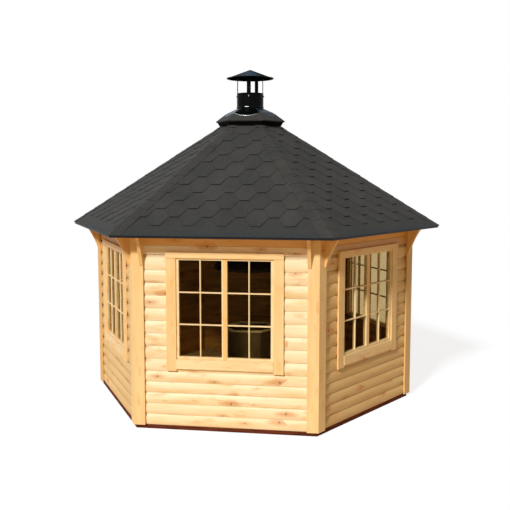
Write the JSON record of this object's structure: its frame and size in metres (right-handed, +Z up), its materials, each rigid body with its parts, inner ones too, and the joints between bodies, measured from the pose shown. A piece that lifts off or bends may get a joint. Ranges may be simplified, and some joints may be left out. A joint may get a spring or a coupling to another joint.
{
  "type": "barbecue pavilion",
  "caption": "Hexagonal log barbecue pavilion with casement windows, a shingled hipped roof, a chimney with a rain cap, a smoke hood and a grill.",
  "frame": {"origin": "middle of the hexagonal plan on the ground, under the base beams", "axes": "+Z up, -Y out of the front wall, +X to the right through two opposite corners"},
  "size_m": [4.3658, 3.7808, 3.8093],
  "materials": {
    "spruce_logs": "planed round-faced spruce logs, clear, satin",
    "spruce_boards": "planed spruce boards, clear, satin",
    "spruce_sashes": "planed spruce sash bars, clear, satin",
    "treated_timber": "pressure-treated red-brown timber, matt",
    "floor_boards": "planed softwood floor boards, matt",
    "bench_slats": "planed softwood slats, matt",
    "curb_boards": "dark stained boards, matt",
    "bitumen_shingles": "boards under charcoal mineral-surfaced bitumen shingles, matt",
    "black_sheet_steel": "sheet steel with black stove enamel, semi-gloss",
    "hood_steel": "sheet steel with black heat-proof paint, matt",
    "grill_steel": "sheet steel with dark heat-proof paint, matt",
    "window_glass": "clear float glass"
  },
  "bodies": {
    "root": {"base_beams": "treated_timber", "bench_seat": "bench_slats", "bench_trestles": "bench_slats", "cap_straps": "black_sheet_steel", "casing_front": "spruce_boards", "casing_left_front": "spruce_boards", "casing_right_back": "spruce_boards", "casing_right_front": "spruce_boards", "chimney_cap": "black_sheet_steel", "chimney_stack": "black_sheet_steel", "corner_back_left": "spruce_boards", "corner_back_right": "spruce_boards", "corner_front_left": "spruce_boards", "corner_front_right": "spruce_boards", "corner_left": "spruce_boards", "corner_right": "spruce_boards", "cupola": "bitumen_shingles", "door_casing": "spruce_boards", "door_frame": "spruce_boards", "door_leaf": "spruce_boards", "eave_brackets": "spruce_boards", "floor": "floor_boards", "grill": "grill_steel", "hip_rafters": "spruce_logs", "roof_back": "bitumen_shingles", "roof_curb": "curb_boards", "roof_front": "bitumen_shingles", "roof_left_back": "bitumen_shingles", "roof_left_front": "bitumen_shingles", "roof_right_back": "bitumen_shingles", "roof_right_front": "bitumen_shingles", "smoke_hood": "hood_steel", "storm_collar": "black_sheet_steel", "wall_back": "spruce_logs", "wall_front": "spruce_logs", "wall_left_back": "spruce_logs", "wall_left_front": "spruce_logs", "wall_plate": "spruce_logs", "wall_right_back": "spruce_logs", "wall_right_front": "spruce_logs", "window_front": "spruce_sashes", "window_glass": "window_glass", "window_left_front": "spruce_sashes", "window_right_back": "spruce_sashes", "window_right_front": "spruce_sashes"}
  },
  "joints": []
}
